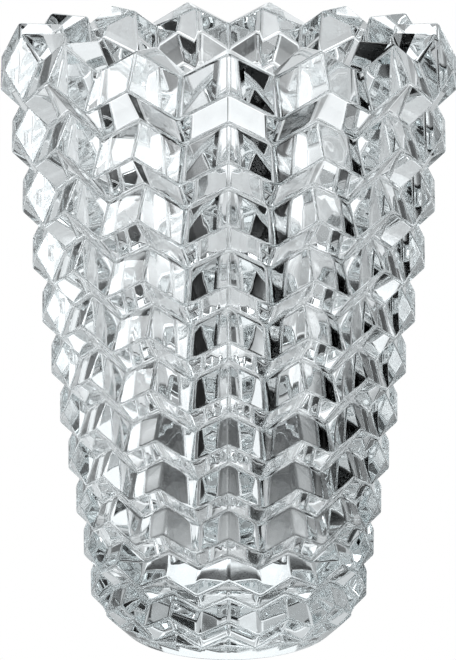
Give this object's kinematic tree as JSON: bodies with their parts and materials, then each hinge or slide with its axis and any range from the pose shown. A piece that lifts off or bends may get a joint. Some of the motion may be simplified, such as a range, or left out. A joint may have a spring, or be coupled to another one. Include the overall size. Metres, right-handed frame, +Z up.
{
  "type": "cut crystal vase",
  "caption": "Heavy clear crystal vase, tapering to a bevelled foot, cut all round with rows of zigzag facets, with a serrated rim and a fluted cavity.",
  "frame": {"origin": "centre of the flat underside of the foot, on the vase's axis", "axes": "+Z up along the vase's axis, through the mouth; -Y towards a ridge column of the facets; +X to the right of that column"},
  "size_m": [0.186, 0.1859, 0.2548],
  "materials": {
    "crystal_glass": "clear colourless lead crystal, polished, with crisp ground facets"
  },
  "bodies": {
    "root": {"vase_body": "crystal_glass"}
  },
  "joints": []
}
